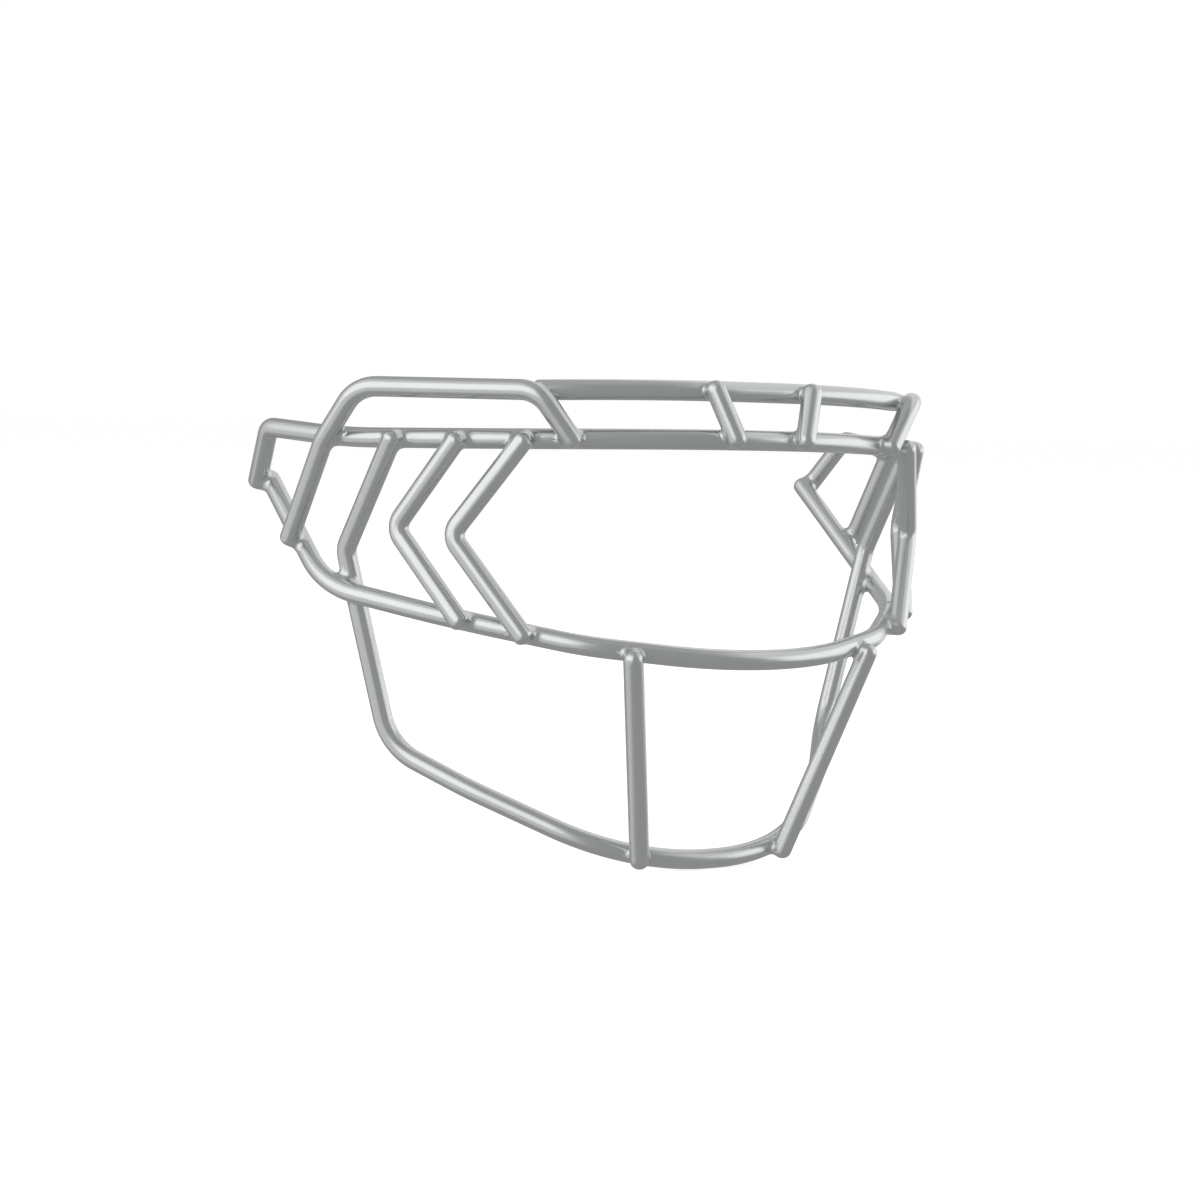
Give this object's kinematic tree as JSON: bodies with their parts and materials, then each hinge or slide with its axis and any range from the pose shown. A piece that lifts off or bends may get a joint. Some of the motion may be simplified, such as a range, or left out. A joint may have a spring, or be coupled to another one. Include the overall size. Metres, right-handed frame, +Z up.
{
  "type": "football helmet face guard",
  "caption": "Bare welded wire face guard for an American football helmet, with raised side loops, back-pointing cheek chevrons and a chin wire.",
  "frame": {"origin": "on the centreline of the brow wire at the front, in the mirror plane", "axes": "+Z up, the guard looks along -Y, +X to the wearer's left; X = 0 is the mirror plane"},
  "size_m": [0.244, 0.1466, 0.1614],
  "materials": {
    "silver_coat": "smooth satin silver-grey metallic coat on steel wire",
    "weld_coat": "the same satin silver-grey coat over weld metal"
  },
  "bodies": {
    "root": {"brow_wire": "silver_coat", "jaw_wire": "silver_coat", "chin_wire": "silver_coat", "top_bar": "silver_coat", "side_loop_right": "silver_coat", "side_loop_left": "silver_coat", "rear_chevron_right": "silver_coat", "rear_chevron_left": "silver_coat", "front_chevron_right": "silver_coat", "front_chevron_left": "silver_coat", "short_upright_right": "silver_coat", "short_upright_left": "silver_coat", "long_upright_right": "silver_coat", "long_upright_left": "silver_coat", "weld_tail_right": "weld_coat", "weld_tail_left": "weld_coat", "weld_chin_brow_right": "weld_coat", "weld_chin_brow_left": "weld_coat", "weld_chin_jaw_right": "weld_coat", "weld_chin_jaw_left": "weld_coat", "weld_loop_jaw_right": "weld_coat", "weld_loop_jaw_left": "weld_coat", "weld_loop_rear_right": "weld_coat", "weld_loop_rear_left": "weld_coat", "weld_loop_front_right": "weld_coat", "weld_loop_front_left": "weld_coat", "weld_top_bar_right": "weld_coat", "weld_top_bar_left": "weld_coat", "weld_rear_chevron_brow_right": "weld_coat", "weld_rear_chevron_brow_left": "weld_coat", "weld_rear_chevron_jaw_right": "weld_coat", "weld_rear_chevron_jaw_left": "weld_coat", "weld_front_chevron_brow_right": "weld_coat", "weld_front_chevron_brow_left": "weld_coat", "weld_front_chevron_jaw_right": "weld_coat", "weld_front_chevron_jaw_left": "weld_coat", "weld_short_upright_top_right": "weld_coat", "weld_short_upright_top_left": "weld_coat", "weld_short_upright_brow_right": "weld_coat", "weld_short_upright_brow_left": "weld_coat", "weld_long_upright_jaw_right": "weld_coat", "weld_long_upright_jaw_left": "weld_coat", "weld_long_upright_chin_right": "weld_coat", "weld_long_upright_chin_left": "weld_coat"}
  },
  "joints": []
}
